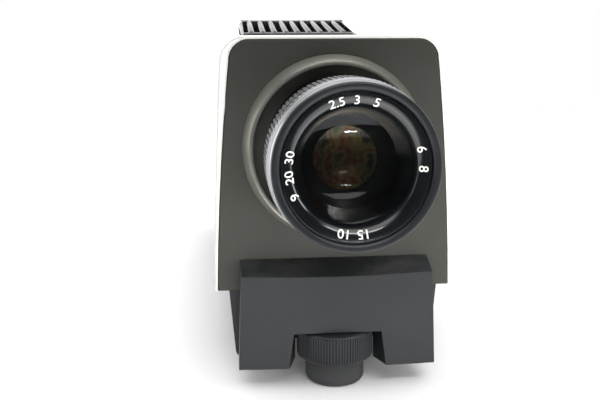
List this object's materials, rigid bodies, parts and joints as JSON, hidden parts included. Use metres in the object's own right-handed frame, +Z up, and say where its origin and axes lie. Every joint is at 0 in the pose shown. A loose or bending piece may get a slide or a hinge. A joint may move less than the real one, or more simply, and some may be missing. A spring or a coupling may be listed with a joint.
{
  "type": "medium format slide projector",
  "caption": "Medium format slide projector: cream housing, large focusing lens in a conical collar, ribbed roof vent, side-loading slide carrier and an elevating front foot.",
  "frame": {"origin": "on the standing surface, under the middle of the projector", "axes": "+X to the right seen from the front, +Y from the lens to the rear, +Z up"},
  "size_m": [0.1272, 0.4472, 0.1925],
  "materials": {
    "cream_shell": "satin",
    "olive_panel": "satin",
    "collar_finish": "satin",
    "black_moulding": "satin",
    "grip_moulding": "satin",
    "foot_rubber": "matte",
    "black_anodised": "satin",
    "plated_sheet": "satin",
    "steel": "polished",
    "core_iron": "matte",
    "coil_winding": "satin",
    "bush_brass": "satin",
    "socket_ceramic": "matte",
    "lens_glass": "polished",
    "filter_glass": "polished",
    "lamp_glass": "polished",
    "mirror_finish": "polished",
    "rocker_moulding": "satin"
  },
  "bodies": {
    "chassis": {"body_cover": "cream_shell", "front_bezel": "cream_shell", "front_panel": "olive_panel", "lens_collar": "collar_finish", "base_tub": "black_moulding", "front_chin": "black_moulding", "vent_bracket_left": "black_moulding", "vent_bracket_right": "black_moulding", "fan_frame": "black_moulding", "power_inlet": "black_moulding", "switch_housing": "black_moulding", "fuse_holder": "black_moulding", "rear_panel": "black_moulding", "rear_foot_left": "foot_rubber", "rear_foot_right": "foot_rubber", "gate_rail_upper": "black_anodised", "gate_rail_lower": "black_anodised", "lens_sleeve": "plated_sheet", "gate_front_plate": "plated_sheet", "gate_rear_plate": "plated_sheet", "condenser_housing": "plated_sheet", "condenser_spacer_front": "plated_sheet", "condenser_spacer_rear": "plated_sheet", "lamp_house": "plated_sheet", "chassis_plate": "plated_sheet", "vent_hinge_pin": "steel", "rear_screw_1": "steel", "rear_screw_2": "steel", "rear_screw_3": "steel", "rear_screw_4": "steel", "socket_stand": "steel", "reflector_bracket": "steel", "fan_motor": "steel", "transformer_core": "core_iron", "transformer_coil": "coil_winding", "screw_bush": "bush_brass", "lamp_socket": "socket_ceramic", "condenser_front": "lens_glass", "condenser_rear": "lens_glass", "heat_glass": "filter_glass", "halogen_lamp": "lamp_glass", "reflector": "mirror_finish"},
    "lens": {"lens_barrel": "black_anodised", "lens_front_rim": "black_anodised", "lens_scale_ring": "black_anodised", "front_element": "lens_glass", "middle_element": "lens_glass", "rear_element": "lens_glass", "rear_retaining_ring": "black_anodised"},
    "focus_ring": {"focus_ring": "grip_moulding"},
    "carrier": {"slide_carrier": "black_moulding", "carrier_handle": "black_moulding"},
    "vent_cover": {"vent_cover": "black_moulding"},
    "foot": {"foot_pad": "foot_rubber"},
    "foot_screw": {"thumbwheel": "black_moulding", "elevating_screw": "steel"},
    "power_rocker": {"power_rocker": "rocker_moulding"},
    "lamp_rocker": {"lamp_rocker": "rocker_moulding"},
    "fuse_cap": {"fuse_cap": "steel"},
    "fan": {"fan_rotor": "black_moulding"}
  },
  "joints": [
    {"name": "lens_slide", "type": "slide", "parent": "chassis", "child": "lens", "axis": [0, -1, 0], "range_m": [-0.004, 0.012]},
    {"name": "focus_turn", "type": "hinge", "parent": "lens", "child": "focus_ring", "pos_m": [0, -0.188, 0.1215], "axis": [0, -1, 0], "range_deg": [-61, 181]},
    {"name": "carrier_slide", "type": "slide", "parent": "chassis", "child": "carrier", "axis": [1, 0, 0], "range_m": [0, 0.1]},
    {"name": "vent_hinge", "type": "hinge", "parent": "chassis", "child": "vent_cover", "pos_m": [0, 0.0806, 0.1897], "axis": [-1, 0, 0], "range_deg": [0, 75]},
    {"name": "foot_lift", "type": "slide", "parent": "chassis", "child": "foot", "axis": [0, 0, -1], "range_m": [0, 0.011]},
    {"name": "wheel_turn", "type": "hinge", "parent": "foot", "child": "foot_screw", "pos_m": [0, -0.1526, 0.02], "axis": [0, 0, 1], "range_deg": [0, 2640]},
    {"name": "power_switch", "type": "hinge", "parent": "chassis", "child": "power_rocker", "pos_m": [0.0175, 0.216, 0.0765], "axis": [1, 0, 0], "range_deg": [0, 16]},
    {"name": "lamp_switch", "type": "hinge", "parent": "chassis", "child": "lamp_rocker", "pos_m": [0.0365, 0.216, 0.0765], "axis": [1, 0, 0], "range_deg": [0, 16]},
    {"name": "fuse_turn", "type": "hinge", "parent": "chassis", "child": "fuse_cap", "pos_m": [0, 0.22, 0.1095], "axis": [0, 1, 0], "range_deg": [0, 90]},
    {"name": "fan_spin", "type": "hinge", "parent": "chassis", "child": "fan", "pos_m": [0, 0.161, 0.0925], "axis": [0, 0, 1], "continuous": true}
  ],
  "couplings": [
    {"joint": "focus_turn", "follows": "lens_slide", "rad_per_m": 261.8},
    {"joint": "foot_lift", "follows": "wheel_turn", "m_per_rad": 0.000238}
  ]
}
